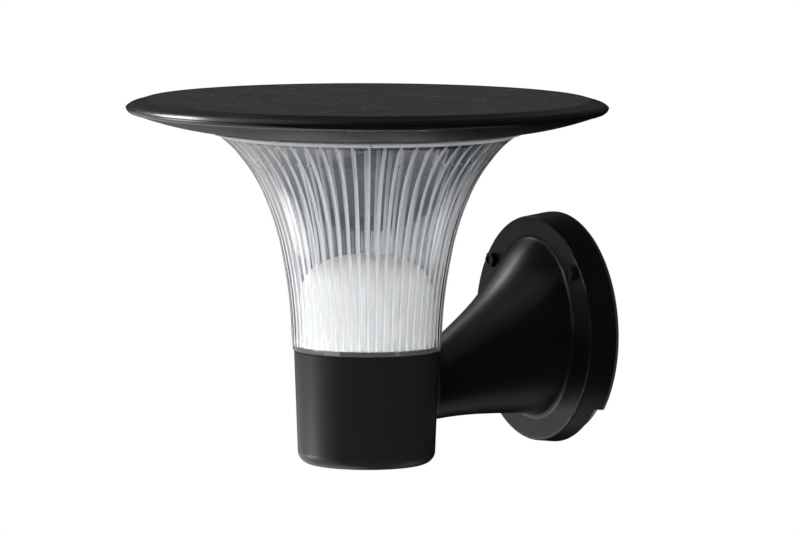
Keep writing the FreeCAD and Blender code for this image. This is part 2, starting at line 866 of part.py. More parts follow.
def flute_outline():
    """Section of one rib: from inside the lens's wall to its crest, down into the foot."""
    root, crest = "lens_wall * 0.7", "lens_wall + flute_depth"
    root_top = ("bell_radius_b - " + root, "-bell_depth_b")
    crest_top = ("bell_radius_b - (%s)" % crest, "-bell_depth_b")
    end = "foot_top - lens_foot_thick / 2"
    return ([crest_top] + bell_side("(%s)" % crest, BELL[2:]) +
            [("flute_inside", end), ("bell_radius_i - " + root, end)] +
            reversed_side(bell_side(root, BELL[2:])) + [root_top])


def lens():
    """Clear bell with a flange for the head, a foot for the cup and flutes down its inside."""
    body = lamp_piece("lens")
    turned_part(body, [
        ("flange_bore", "flange_top"),
        ("flange_radius", "flange_top"),
        ("flange_radius", "flange_top - flange_thick / 2"),
    ] + bell_side("0", BELL) + [
        ("lens_foot_radius", "foot_bottom"),
        ("lens_foot_bore", "foot_bottom"),
        ("lens_foot_bore", "foot_top"),
        ("bell_radius_i - lens_wall", "foot_top"),
    ] + reversed_side(bell_side("lens_wall", BELL)) + [
        ("flange_bore", "flange_bottom"),
    ])
    gap = sector(body, [
        ("flange_bore - lug_reach", "flange_bottom - lug_reach"),
        ("skirt_outside + lug_reach + turning_gap", "flange_bottom - lug_reach"),
        ("skirt_outside + lug_reach + turning_gap", "flange_top + lug_reach"),
        ("flange_bore - lug_reach", "flange_top + lug_reach"),
    ], "lug_width + bayonet_play", at="twist_angle", cut=True)
    repeat(body, gap, "lug_count")
    stop = sector(body, [
        ("flange_bore", "skirt_bottom"),
        ("skirt_outside + lug_reach", "skirt_bottom"),
        ("skirt_outside + lug_reach", "flange_bottom + flange_thick / 2"),
        ("flange_bore", "flange_bottom + flange_thick / 2"),
    ], "stop_width", at="-(lug_width + stop_width) / 2 - stop_play")
    repeat(body, stop, "lug_count")
    sector(body, box_corners(
        "flange_radius - mark_depth", "flange_top - flange_thick",
        "flange_radius + mark_depth", "flange_top + flange_thick"),
        "mark_width", at="mark_angle", cut=True)
    hole = drill_up(body, "lens_screw_circle", "0", "lens_screw_radius + fitting_gap",
                    "foot_bottom", "lens_foot_thick")
    repeat(body, hole, "lens_screw_count")
    slot = sector(body, box_corners(
        "dome_inside - fitting_gap", "foot_bottom - lens_foot_thick",
        "dome_radius + fitting_gap", "foot_top + lens_foot_thick"),
        "hook_width + bayonet_play", at="180", cut=True)
    repeat(body, slot, "lens_screw_count")
    rib = sector(body, flute_outline(), "360 * flute_share / flute_count")
    repeat(body, rib, "flute_count")
    return body


def lens_screws():
    return screw_ring("lens_screws", "lens_screw_circle", "lens_screw_count", pan_screw(
        "lens_screw_radius", "lens_screw_head", "foot_top", "foot_top - lens_screw_length",
        "lens_screw_head_thick", False))


def reflector_dome():
    """White dome over the screws, held by three hooks that pass through the lens's foot."""
    body = lamp_piece("reflector_dome")
    inner_flat = "dome_flat_radius - dome_wall / 4"
    inner_shoulder = "dome_shoulder_radius - dome_wall / 2"
    inner_side = "dome_radius - dome_side_inset - dome_wall * cos(dome_side_slope)"
    turned_part(body, [
        ("0", "-dome_top_depth"),
        ("dome_flat_radius", "-dome_top_depth", "dome_crown_radius", "-dome_crown_depth"),
        ("dome_shoulder_radius", "-dome_shoulder_depth",
         "dome_radius - dome_side_inset", "-dome_side_depth"),
        ("dome_radius", "-dome_wide_depth"),
        ("dome_radius", "foot_top"),
        ("dome_inside", "foot_top"),
        ("dome_inside", "-dome_wide_depth",
         inner_side, "-dome_side_depth - dome_wall * sin(dome_side_slope)"),
        (inner_shoulder, "-dome_shoulder_depth - dome_wall * cos(dome_side_slope)",
         "dome_crown_radius - dome_wall / 4", "-dome_crown_depth - dome_wall"),
        (inner_flat, "-dome_top_depth - dome_wall"),
        ("0", "-dome_top_depth - dome_wall"),
    ])
    leg_inside = "dome_inside + hook_thinner"
    leg_outside = "dome_radius - hook_thinner"
    hook = sector(body, [
        (leg_inside, "foot_top + dome_wall"),
        (leg_inside, "hook_top"),
        (leg_inside + " - hook_reach", "hook_top"),
        (leg_inside + " - hook_reach", "hook_top - hook_thick / 2"),
        (leg_inside, "hook_top - hook_thick"),
        (leg_outside, "hook_top - hook_thick"),
        (leg_outside, "foot_top + dome_wall"),
    ], "hook_width", at="180")
    repeat(body, hook, "lens_screw_count")
    return body


def base_gasket():
    """Rubber ring between the lens's foot and the cup's rim."""
    body = lamp_piece("base_gasket")
    turned_part(body, box_corners("lens_screw_circle + cup_boss_radius + fitting_gap", "cup_top",
                                  "lens_foot_radius - base_gasket_thick", "foot_bottom"))
    return body


# Bracket: cup, arm and canopy cast in one

ARM = ("foot", "a", "b", "c", "cup", "end")
CORE = ("foot", "a", "b", "c", "cup")


def arm_section(body, out, top, bottom, half):
    """Oval section of the arm in a plane parallel to the fence."""
    sketch = new_sketch(body, "XZ_Plane", lift=out)
    draw_oval(sketch, "((%s) - (%s)) / 2" % (top, bottom), half, "((%s) + (%s)) / 2" % (top, bottom))
    return sketch


def loft(body, kind, sketches):
    feature = body.newObject(kind, "Lofted")
    feature.Profile = sketches[0]
    feature.Sections = [(sketch, [""]) for sketch in sketches[1:]]
    return feature


def arm_outside(body):
    """The horn, from its foot on the canopy's front to inside the cup."""
    outs = {"foot": "front_out"}
    return loft(body, "PartDesign::AdditiveLoft", [
        arm_section(body, outs.get(name, "arm_%s_out" % name), "arm_%s_top" % name,
                    "arm_%s_bottom" % name, "arm_%s_half" % name) for name in ARM])


def arm_core(body):
    """The horn's hollow, open to the canopy and closed short of the cup."""
    outs = {"foot": "ceiling_out - arm_wall", "cup": "arm_core_out"}
    return loft(body, "PartDesign::SubtractiveLoft", [
        arm_section(body, outs.get(name, "arm_%s_out" % name),
                    "arm_%s_top - arm_crown_wall" % name, "arm_%s_bottom - arm_wall" % name,
                    "arm_%s_half - arm_wall" % name) for name in CORE])


def foot_edges(shape):
    """Names of the edges where the horn meets the canopy's front face."""
    front = value("-front_out")
    reach = value("(arm_foot_top + arm_foot_bottom) / 2 + arm_wall")
    names = []
    for number, edge in enumerate(shape.Edges, 1):
        ends = [edge.valueAt(edge.FirstParameter + share * (edge.LastParameter - edge.FirstParameter))
                for share in (0.1, 0.5, 0.9)]
        if all(abs(point.y - front) < 1e-3 and math.hypot(point.x, point.z) < reach
               for point in ends):
            names.append("Edge%d" % number)
    return names


def cup_sketch(body):
    """Upright sketch through the lamp's axis, its heights counted from the widest edge."""
    return new_sketch(body, "XZ_Plane", lift="axis_reach", along="rim_height")


def cup_circles(body, radius, start, length, cut=False):
    """Round posts or holes on the lens screws' circle round the lamp's axis."""
    for step in range(round(value("lens_screw_count"))):
        angle = "(360 * %d / lens_screw_count)" % step
        sketch = new_sketch(body, "XY_Plane", lift="rim_height + " + start, along="-axis_reach")
        draw_circle(sketch, "lens_screw_circle * cos%s" % angle,
                    "lens_screw_circle * sin%s" % angle, radius)
        extrude(body, sketch, length, cut=cut)


def canopy_screw_places():
    """Centres of the two hexagon screws, as seen on the canopy's face."""
    across = "canopy_screw_circle * sin(canopy_screw_angle)"
    return [(sign + across, "canopy_screw_circle * cos(canopy_screw_angle)") for sign in ("", "-")]


def out_circles(body, radius, start, length, cut=False):
    """Round posts or holes at the hexagon screws, from one distance off the fence outwards."""
    for x, y in canopy_screw_places():
        sketch = new_sketch(body, "XZ_Plane", lift=start)
        draw_circle(sketch, x, y, radius)
        extrude(body, sketch, length, cut=cut)


def wall_bracket():
    """Canopy, horn-shaped arm and cup cast in one, hollow from the fence side."""
    body = fence_piece("wall_bracket")
    arm_outside(body)
    canopy = new_sketch(body, "XY_Plane")
    draw_outline(canopy, [
        ("0", "-gasket_thick"),
        ("0", "-front_out"),
        ("canopy_front_radius - canopy_edge", "-front_out",
         "canopy_front_radius - canopy_edge * (1 - sin(45))",
         "canopy_edge * (1 - cos(45)) - front_out"),
        ("canopy_front_radius", "canopy_edge - front_out"),
        ("canopy_back_radius", "-gasket_thick"),
    ])
    spin(body, canopy)
    cup = cup_sketch(body)
    edge = "cup_edge_radius"
    draw_outline(cup, [
        ("0", "-cup_bottom_depth"),
        ("cup_bottom_radius - " + edge, "-cup_bottom_depth",
         "cup_bottom_radius - %s * (1 - sin(45))" % edge,
         "%s * (1 - cos(45)) - cup_bottom_depth" % edge),
        ("cup_bottom_radius", edge + " - cup_bottom_depth"),
        ("cup_top_radius", "cup_top"),
        ("0", "cup_top"),
    ])
    solid = spin(body, cup)
    document.recompute()
    fillet = body.newObject("PartDesign::Fillet", "Foot")
    fillet.Base = (solid, foot_edges(solid.Shape))
    bind(fillet, "Radius", "arm_foot_fillet")
    inner_edge = "(cup_edge_radius - cup_wall)"
    hollow = cup_sketch(body)
    draw_outline(hollow, [
        ("0", "cup_floor - cup_bottom_depth"),
        ("cup_bottom_radius - cup_wall - " + inner_edge, "cup_floor - cup_bottom_depth",
         "cup_bottom_radius - cup_wall - %s * (1 - sin(45))" % inner_edge,
         "%s * (1 - cos(45)) + cup_floor - cup_bottom_depth" % inner_edge),
        ("cup_bottom_radius - cup_wall", inner_edge + " + cup_floor - cup_bottom_depth"),
        ("cup_inside", "cup_top"),
        ("cup_inside", "cup_top + cup_wall"),
        ("0", "cup_top + cup_wall"),
    ])
    spin(body, hollow, cut=True)
    boss_length = "(foot_bottom - cup_floor + cup_bottom_depth)"
    cup_circles(body, "cup_boss_radius", "cup_floor - cup_bottom_depth", boss_length)
    cup_circles(body, "lens_screw_radius + thread_play",
                "foot_bottom - cup_screw_depth", "cup_screw_depth + cup_wall", cut=True)
    inside = new_sketch(body, "XY_Plane")
    draw_outline(inside, [
        ("0", "canopy_wall"),
        ("0", "-ceiling_out"),
        ("canopy_front_radius - canopy_wall", "-ceiling_out"),
        ("canopy_back_radius - canopy_wall", "-gasket_thick"),
        ("canopy_back_radius - canopy_wall", "canopy_wall"),
    ])
    spin(body, inside, cut=True)
    arm_core(body)
    out_circles(body, "canopy_boss_radius", "boss_end_out", "ceiling_out - boss_end_out")
    out_circles(body, "canopy_screw_radius + fitting_gap", "boss_end_out",
                "front_out - boss_end_out", cut=True)
    relief = new_sketch(body, "YZ_Plane")
    draw_outline(relief, box_corners("-relief_depth", "-canopy_back_radius - canopy_wall",
                                     "canopy_wall", "canopy_wall * 2 - canopy_back_radius"))
    spin(body, relief, "2 * relief_half_angle", cut=True, axis="H_Axis")
    return body


def mounting_plate():
    """Round steel plate screwed to the fence, with a large bore and four screw holes."""
    body = fence_piece("mounting_plate")
    sketch = new_sketch(body, "XZ_Plane")
    draw_circle(sketch, "0", "0", "plate_radius")
    draw_circle(sketch, "0", "0", "plate_bore")
    extrude(body, sketch, "plate_thick")
    hole = new_sketch(body, "XZ_Plane")
    draw_circle(hole, "plate_hole_circle", "0", "plate_hole_radius")
    cut = extrude(body, hole, "plate_thick", cut=True)
    repeat(body, cut, "plate_hole_count", "Y_Axis")
    return body


def standoffs():
    """Two threaded hexagon standoffs welded to the plate."""
    body = fence_piece("standoffs")
    for x, y in canopy_screw_places():
        sketch = new_sketch(body, "XZ_Plane", lift="plate_thick")
        draw_outline(sketch, hexagon_corners(x, y, "standoff_across"))
        draw_circle(sketch, x, y, "canopy_screw_radius + thread_play")
        extrude(body, sketch, "standoff_length")
    return body


def canopy_screws():
    """Two hexagon-head screws with a shallow dish in each head."""
    body = fence_piece("canopy_screws")
    for x, y in canopy_screw_places():
        head = new_sketch(body, "XZ_Plane", lift="front_out")
        draw_outline(head, hexagon_corners(x, y, "canopy_screw_head"))
        extrude(body, head, "canopy_screw_head_thick")
        shank = new_sketch(body, "XZ_Plane", lift="front_out - canopy_screw_length")
        draw_circle(shank, x, y, "canopy_screw_radius")
        extrude(body, shank, "canopy_screw_length")
    out_circles(body, "canopy_screw_dish",
                "front_out + canopy_screw_head_thick - canopy_screw_dish_depth",
                "canopy_screw_dish_depth", cut=True)
    return body


def wall_gasket():
    """Foam ring between the canopy's back and the fence, open where the rim is relieved."""
    body = fence_piece("wall_gasket")
    sketch = new_sketch(body, "YZ_Plane")
    draw_outline(sketch, box_corners("-gasket_thick", "canopy_back_radius - canopy_wall",
                                     "0", "canopy_back_radius"))
    spin(body, sketch, "360 - 2 * relief_half_angle", axis="H_Axis")
    return body


def battery_pack():
    return battery_slab("battery_pack", "battery_bottom", "battery_thick")


def battery_pad():
    """Foam between the battery and the top housing."""
    return battery_slab("battery_pad", "battery_top", "floor_bottom - battery_top")


BUILDERS = (
    wall_bracket, mounting_plate, standoffs, canopy_screws, wall_gasket,
    base_gasket, lens, lens_screws, reflector_dome,
    head_dish, top_housing, rim_seal, lens_seal, head_screws,
    panel_board, solar_cells, panel_glass,
    battery_tray, battery_pack, battery_pad,
    control_board, board_parts, board_screws,
    led_board, leds, led_screws, led_cover,
    switch_body, switch_button, switch_seal,
)


def faults(thing):
    """What is wrong with a finished piece, or nothing."""
    shape = thing.Shape
    if shape.isNull() or not shape.Solids:
        return "has no solid"
    if not shape.isValid():
        return "has a broken shape"
    return ""


nodes = [builder() for builder in BUILDERS]
document.recompute()
for item in document.Objects:
    if "Invalid" in item.State or "Error" in item.State:
        raise RuntimeError("%s did not build: %s" % (item.Label, item.State))
for node in nodes:
    fault = faults(node)
    if fault:
        raise RuntimeError("%s %s" % (node.Label, fault))
for node in nodes:
    node.Shape.exportStep("parts/%s.step" % node.Label)
    print(node.Label, len(node.Shape.Solids), "solids", round(node.Shape.Volume / 1000, 2), "cm3")
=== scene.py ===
# %% [markdown]
# This is a solar light for a fence. A round head with a panel on top rests on a clear fluted
# bell with a white dome in it, and a black casting holds both out from the fence. The solids
# come packed, in metres, and each already lies where it belongs. This file gives them their
# finishes, draws the bell again in finer detail, and sets up the light and the camera.

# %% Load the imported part
import math

import bpy
from mathutils import Matrix, Vector


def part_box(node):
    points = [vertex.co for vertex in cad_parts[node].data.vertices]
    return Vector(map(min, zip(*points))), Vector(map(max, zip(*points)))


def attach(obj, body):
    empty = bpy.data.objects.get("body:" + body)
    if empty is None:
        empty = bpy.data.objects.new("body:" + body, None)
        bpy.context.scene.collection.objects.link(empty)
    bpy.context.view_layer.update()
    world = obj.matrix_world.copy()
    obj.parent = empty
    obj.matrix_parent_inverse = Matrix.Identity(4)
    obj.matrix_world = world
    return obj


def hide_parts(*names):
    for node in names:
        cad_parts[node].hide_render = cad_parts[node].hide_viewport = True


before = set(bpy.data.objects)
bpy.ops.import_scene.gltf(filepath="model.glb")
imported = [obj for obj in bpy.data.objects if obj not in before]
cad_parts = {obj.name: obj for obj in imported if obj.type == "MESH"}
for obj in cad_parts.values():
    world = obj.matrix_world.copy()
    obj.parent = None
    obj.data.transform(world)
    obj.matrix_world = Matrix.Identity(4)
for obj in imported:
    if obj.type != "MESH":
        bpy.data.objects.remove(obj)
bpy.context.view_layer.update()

# %% [markdown]
# Head, bell and cup are turned pieces on one upright line in front of the fence. They are
# measured out from that axis, and down from the plane of the head's widest edge. Both are worked
# out once, from the boxes of the lens and of the top housing, so that nothing is placed by eye.

# %% The lamp's own axis and height
RIM_TOP = 0.0039
lens_low, lens_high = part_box("lens")
AXIS_Y = (lens_low.y + lens_high.y) / 2
RIM_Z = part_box("top_housing")[1].z - RIM_TOP
print("lamp axis at y = %.4f m, widest edge at z = %.4f m" % (AXIS_Y, RIM_Z))

# %% [markdown]
# A finish is a material: a small tree of nodes that ends in one Principled shader. The first
# helpers start such a tree, add a node to it, and feed a socket with a number, a colour or the
# output of another node. With them each recipe stays short enough to read.

# %% Start a finish


def feed(material, given, socket):
    """Set a socket to a number, a colour or a place, or link another node's output to it."""
    if isinstance(given, bpy.types.NodeSocket):
        material.node_tree.links.new(given, socket)
    elif socket.type == "RGBA":
        socket.default_value = (*given, 1)
    else:
        socket.default_value = given


def add(material, kind, *givens, **settings):
    """A new node with its settings; what is given feeds its first sockets in order."""
    node = material.node_tree.nodes.new("ShaderNode" + kind)
    for name, setting in settings.items():
        setattr(node, name, setting)
    for socket, given in zip(node.inputs, givens):
        feed(material, given, socket)
    return node


def to_shader(material, given, socket):
    """Feed one socket of the Principled shader."""
    feed(material, given, material.node_tree.nodes["Principled BSDF"].inputs[socket])


def new_finish(name, color, roughness, **sockets):
    """A material with one Principled shader; further shader sockets are given by name."""
    material = bpy.data.materials.new(name)
    material.use_nodes = True
    to_shader(material, color, "Base Color")
    to_shader(material, roughness, "Roughness")
    for socket, number in sockets.items():
        to_shader(material, number, socket.replace("_", " "))
    return material


# %% [markdown]
# No moulded or coated surface is perfectly smooth. A noise that is far finer than the piece
# stands for its grain, as a bump: the mesh stays as it is and only the light on it changes. A
# second noise, forty times as wide, lets the gloss wander a little.

# %% Grain and gloss
NOISE_LOW = 0.3
NOISE_HIGH = 0.7
GRAIN_DETAIL = 3
DRIFT_GRAINS = 40


def place(material):
    """The point on the piece in metres, in the part's own frame."""
    return add(material, "TexCoord").outputs["Object"]


def noise(material, size, detail=2.0):
    """Soft noise whose blobs are about as wide as size, in metres."""
    node = add(material, "TexNoise", place(material))
    node.inputs["Scale"].default_value = 1 / size
    node.inputs["Detail"].default_value = detail
    return node.outputs["Fac"]


def ramp(material, source, low, high, start, end):
    """Stretch a value from one range to another and hold it there."""
    return add(material, "MapRange", source, low, high, start, end, clamp=True).outputs["Result"]


def add_bump(material, height, depth):
    """Turn a height from 0 to 1 into relief of the given depth in metres."""
    bump = add(material, "Bump")
    bump.inputs["Distance"].default_value = depth
    feed(material, height, bump.inputs["Height"])
    to_shader(material, bump.outputs["Normal"], "Normal")


def drift_gloss(material, size, spread, detail=2.0):
    """Let the roughness wander by spread to both sides of the level it was set to."""
    level = material.node_tree.nodes["Principled BSDF"].inputs["Roughness"].default_value
    drift = noise(material, size, detail)
    to_shader(material, ramp(material, drift, NOISE_LOW, NOISE_HIGH, level - spread, level + spread),
              "Roughness")


def add_grain(material, size, depth, spread):
    """Fine relief and a slow drift of the gloss, as moulded and coated faces have."""
    add_bump(material, noise(material, size, GRAIN_DETAIL), depth)
    drift_gloss(material, size * DRIFT_GRAINS, spread)


# %% [markdown]
# Canopy, arm and cup are one aluminium casting with a baked powder coat. Real powder coat is
# satin, never quite flat, and shows a very fine orange peel. A noise of half a millimetre gives
# the peel. The cup is painted a shade lighter and bluer than the arm, as painted light that
# stands in for the light the cup catches. It is the same piece, so this painted light is blended
# in by how far a point is from the lamp's axis.

# %% Powder coat on the casting
# Where the Mix node keeps its two inputs and its output, for levels and for colours.
MIX_SOCKETS = {"FLOAT": (2, 3, 0), "RGBA": (6, 7, 2)}


def blend(material, factor, first, second, kind="RGBA"):
    """Mix two colours, or two levels where kind is FLOAT; each is a value or an output."""
    first_in, second_in, out = MIX_SOCKETS[kind]
    node = add(material, "Mix", factor, data_type=kind)
    feed(material, first, node.inputs[first_in])
    feed(material, second, node.inputs[second_in])
    return node.outputs[out]


def beside_axis(material):
    """The level arrow from the lamp's own axis to the point on the piece, in metres."""
    aside = add(material, "VectorMath", place(material), (0, AXIS_Y, 0), operation="SUBTRACT")
    level = add(material, "VectorMath", aside.outputs["Vector"], (1, 1, 0), operation="MULTIPLY")
    return level.outputs["Vector"]


def from_axis(material):
    """How far a point is from the lamp's own axis, in metres."""
    return add(material, "VectorMath", beside_axis(material), operation="LENGTH").outputs["Value"]


def wear(material, *node_names):
    """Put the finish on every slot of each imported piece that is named."""
    for node_name in node_names:
        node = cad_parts[node_name]
        for slot in node.material_slots:
            slot.material = material
        if not node.material_slots:
            node.data.materials.append(material)
    print(material.name, "is on", ", ".join(node_names))


ARM_COLOR = (0.0035, 0.0038, 0.0038)
# Painted light: the cup's colour is lighter and bluer than the arm's, standing in for light on the
# cup.
CUP_PAINTED_LIGHT = (0.014, 0.0165, 0.018)
CUP_RADIUS = 0.0379
CUP_BLEND = 0.0006
coat = new_finish("black powder coat", ARM_COLOR, roughness=0.32, Specular_IOR_Level=0.42)
add_grain(coat, size=0.0006, depth=0.00001, spread=0.03)
# Painted light on the cup: full within its radius, gone after a short blend.
painted_light_on_cup = ramp(coat, from_axis(coat), CUP_RADIUS, CUP_RADIUS + CUP_BLEND, 1, 0)
to_shader(coat, blend(coat, painted_light_on_cup, ARM_COLOR, CUP_PAINTED_LIGHT), "Base Color")
wear(coat, "wall_bracket")

# %% [markdown]
# The rim of the head is moulded and glossier than the casting, so its rolled edge draws a thin
# bright line. The dish under it is the same plastic left matt. Its colour is painted from near
# black at the edge to a dark grey beside the lens: a painted reflection of the pale floor that the
# underside mirrors there. The plastic inside, which is seen only with the head open, is a plain
# dark grey.

# %% Plastics of the head
RIM_COLOR = (0.0035, 0.0038, 0.0036)
rim_plastic = new_finish("satin rim", RIM_COLOR, roughness=0.22, Specular_IOR_Level=0.42)
add_grain(rim_plastic, size=0.0004, depth=0.000004, spread=0.03)
wear(rim_plastic, "top_housing")

DISH_EDGE = (0.005, 0.0052, 0.0054)
# Painted reflection: the lighter grey beside the lens stands in for the floor mirrored by the
# underside.
DISH_PAINTED_REFLECTION = (0.036, 0.037, 0.038)
REFLECTION_FULL_WITHIN = 0.086
REFLECTION_GONE_BEYOND = 0.119
dish_plastic = new_finish("matt dish", DISH_EDGE, roughness=0.5, Specular_IOR_Level=0.35)
# Painted reflection, full near the lens and fading out towards the edge.
painted_reflection = ramp(dish_plastic, from_axis(dish_plastic), REFLECTION_FULL_WITHIN, REFLECTION_GONE_BEYOND, 1, 0)
to_shader(dish_plastic, blend(dish_plastic, painted_reflection, DISH_EDGE, DISH_PAINTED_REFLECTION), "Base Color")
add_grain(dish_plastic, size=0.0005, depth=0.00001, spread=0.04)
wear(dish_plastic, "head_dish")

inner_plastic = new_finish("inner plastic", (0.02, 0.02, 0.022), roughness=0.5)
add_grain(inner_plastic, size=0.0006, depth=0.00001, spread=0.05)
wear(inner_plastic, "battery_tray", "switch_body")

# %% [markdown]
# The panel is dark strip cells laminated under glass. From the side only the thin silver lines
# between the strips show, and only in places. They could be a picture, but lines that are worked
# out stay sharp at any distance. The point on the glass is turned into the cells' own grid, and
# each line asks how near it is. The strongest lines are broken up with noise, and a finer noise
# leaves a few specks of dust.

# %% Lines of the solar cells
CELL_TURN = math.radians(17)
CELL_WIDE = 0.0177
CELL_LONG = 0.0394
CELL_GAP = 0.0005
LINE_CORE = 0.5
LINE_EDGE = 0.9
FAINT_LINES = (
    # along which side, from line to line, width of a line, how bright
    ("Y", CELL_LONG, 0.0006, 0.15),
    ("X", CELL_WIDE, 0.0003, 0.08),
    ("Y", 0.0016, 0.00018, 0.04),
)


def maths(material, operation, *givens):
    """One Math node; each given is a number or another node's output."""
    return add(material, "Math", *givens, operation=operation).outputs[0]


def near_line(material, coordinate, pitch, width):
    """1 on lines a pitch apart, 0 between them, with soft edges."""
    turns = maths(material, "DIVIDE", coordinate, pitch)
    apart = maths(material, "MULTIPLY", maths(material, "PINGPONG", turns, 0.5), pitch)
    return ramp(material, apart, width * LINE_CORE, width * LINE_EDGE, 1, 0)


def cell_lines(material):
    """How strongly a line shows at each point of the cells, from 0 to 1."""
    turned = add(material, "Mapping", place(material), (0, AXIS_Y, 0), (0, 0, CELL_TURN),
                 vector_type="TEXTURE")
    grid = add(material, "SeparateXYZ", turned.outputs["Vector"])
    across = maths(material, "ADD", grid.outputs["X"], CELL_WIDE / 2)
    gaps = near_line(material, across, CELL_WIDE, CELL_GAP)
    dashes = ramp(material, noise(material, size=0.0035, detail=1),
                  low=0.60, high=0.67, start=0, end=0.8)
    lines = maths(material, "MULTIPLY", gaps, dashes)
    for side, pitch, width, bright in FAINT_LINES:
        faint = maths(material, "MULTIPLY",
                      near_line(material, grid.outputs[side], pitch, width), bright)
        lines = maths(material, "MAXIMUM", lines, faint)
    return lines


print("a cell is %.1f by %.1f mm" % (1000 * CELL_WIDE, 1000 * CELL_LONG))

# %% [markdown]
# The lines lie over cells whose dark green wanders a little from place to place, as etched
# silicon does, and they end where the round field of cells ends. The gloss is set on the same
# finish, because glass and cells are seen as one surface from any distance.

# %% Solar panel under its glass
CELL_DARK = (0.017, 0.020, 0.0165)
CELL_LIGHT = (0.027, 0.031, 0.025)
SILVER = (0.30, 0.32, 0.31)
DUST = (0.34, 0.34, 0.33)
CELL_FIELD = 0.1125
FIELD_EDGE = 0.0003
panel = new_finish("laminated panel", CELL_DARK, roughness=0.23, Specular_IOR_Level=0.3)
drift_gloss(panel, size=0.03, spread=0.05, detail=4)
inside = ramp(panel, from_axis(panel), CELL_FIELD - FIELD_EDGE, CELL_FIELD, 1, 0)
cells = blend(panel, noise(panel, size=0.02, detail=3), CELL_DARK, CELL_LIGHT)
lined = blend(panel, maths(panel, "MULTIPLY", cell_lines(panel), inside), cells, SILVER)
dusty = ramp(panel, noise(panel, size=0.0011, detail=1), low=0.80, high=0.84, start=0, end=0.6)
to_shader(panel, blend(panel, dusty, lined, DUST), "Base Color")
wear(panel, "panel_glass", "solar_cells")

# %% [markdown]
# The lens is the piece that everybody looks at: a clear bell, smooth outside, with half-round
# flutes down its inside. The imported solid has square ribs. Here the same bell is drawn again as
# one ring of points after another: the outside is a plain curve, and the inside steps in and out
# with the flutes. Real geometry is needed, because a bump can't bend what is seen through it.
# The outline is a chain of arcs, each through three points of radius and depth in millimetres.

# %% Outline of the bell
BELL = ((77.4, 14.4), (72.2, 18.5), (65.4, 26.0), (58.6, 35.6), (52.9, 47.0),
        (47.6, 61.5), (43.4, 79.5), (40.5, 98.0), (39.0, 119.0))


def arc_through(first, middle, last, steps):
    """Points on the circle through three points, without the last one."""
    (ax, ay), (bx, by), (cx, cy) = first, middle, last
    span = 2 * (ax * (by - cy) + bx * (cy - ay) + cx * (ay - by))
    squares = [x * x + y * y for x, y in (first, middle, last)]
    ox = (squares[0] * (by - cy) + squares[1] * (cy - ay) + squares[2] * (ay - by)) / span
    oy = (squares[0] * (cx - bx) + squares[1] * (ax - cx) + squares[2] * (bx - ax)) / span
    radius = math.hypot(ax - ox, ay - oy)
    start = math.atan2(ay - oy, ax - ox)
    turn = (math.atan2(cy - oy, cx - ox) - start + math.pi) % math.tau - math.pi
    return [(ox + radius * math.cos(start + turn * step / steps),
             oy + radius * math.sin(start + turn * step / steps)) for step in range(steps)]


def bell_curve(steps):
    """Radius and depth down the outside of the bell, with so many steps to an arc."""
    points = []
    for index in range(0, len(BELL) - 1, 2):
        points += arc_through(*BELL[index:index + 3], steps)
    return points + [BELL[-1]]


print("the bell narrows from %.1f to %.1f mm in radius" % (BELL[0][0], BELL[-1][0]))

# %% [markdown]
# The flutes are narrow ribs with steep sides. Light that comes through the smooth outside meets
# a side so steeply that it is thrown back out, and that is why real ribs look white. A rib that
# just stopped would look cut off, so the moulded ones run out in a round finger tip: near its
# two ends each rib gets narrower and lower along a circle. A rib is also wider and taller where
# the bell is wider.

# %% Ribs down the inside
FLUTES = 56
FLUTE_TOP = 14.5
FLUTE_BOTTOM = 123.6
TOP_TIP = 3.0
BOTTOM_TIP = 1.5
RIB_HALF = 0.7
RIB_HALF_GROWTH = 0.005
RIB_TALL = 0.42
RIB_TALL_GROWTH = 0.0085
RIB_SOFT = 0.4
NARROWEST = 0.02
BESIDE_A_RIB = (0.0, 0.5, 0.93)
UP_A_RIB = (-1.0, -0.8, -0.55, -0.28, 0.0, 0.28, 0.55, 0.8, 1.0)
FLUTE_COLUMNS = len(UP_A_RIB) + 2 * len(BESIDE_A_RIB) - 1
COLUMNS = FLUTE_COLUMNS * FLUTES


def rib_swell(depth):
    """1 where a rib has its full size, falling to 0 round its two ends."""
    below = min(1.0, max(0.0, (depth - FLUTE_TOP) / TOP_TIP))
    above = min(1.0, max(0.0, (FLUTE_BOTTOM - depth) / BOTTOM_TIP))
    return math.sqrt(1 - (1 - below) ** 2) * math.sqrt(1 - (1 - above) ** 2)


def rib_half_share(radius):
    """Half a rib's width as a share of the way from one rib to the next."""
    return (RIB_HALF + RIB_HALF_GROWTH * radius) * FLUTES / (math.tau * radius)


def flute_columns(radius, depth, fluted):
    """(turn, rise) all round a ring: how far round, and how far the inside stands in there."""
    swell = rib_swell(depth) if fluted else 1.0
    half = rib_half_share(radius) * max(swell, NARROWEST)
    tall = swell * (RIB_TALL + RIB_TALL_GROWTH * radius) if fluted else 0.0
    ridge = math.hypot(1, RIB_SOFT)
    beside = [share * (0.5 - half) for share in BESIDE_A_RIB]
    one = [(share, 0.0) for share in beside]
    one += [(0.5 + half * aside, tall * (ridge - math.hypot(aside, RIB_SOFT)) / (ridge - RIB_SOFT))
            for aside in UP_A_RIB]
    one += [(1 - share, 0.0) for share in beside[:0:-1]]
    return [((flute + share) / FLUTES, rise) for flute in range(FLUTES) for share, rise in one]


print("%d ribs, with %d columns of points all round" % (FLUTES, COLUMNS))

# %% [markdown]
# Now the closed section of the lens: from the hole in its flange round the flange's edge, down
# the outside, under the foot, and back up the fluted inside. Each ring also says which band of
# surface starts there, so that every band can get a finish of its own.

# %% Rings of the bell
WALL = 2.3
OUTSIDE_STEPS = 12
INSIDE_STEPS = 24
FLANGE_HOLE = 69.4
FLANGE_TOP = 12.8
FLANGE_THICK = 1.6
FLANGE_EDGE = ((80.1, 0.0), (80.5, 0.4), (80.3, 0.8))
FOOT_SHOULDER = 38.6
FOOT_RADIUS = 38.4
FOOT_BOTTOM = 126.1
FOOT_HOLE = 24.0


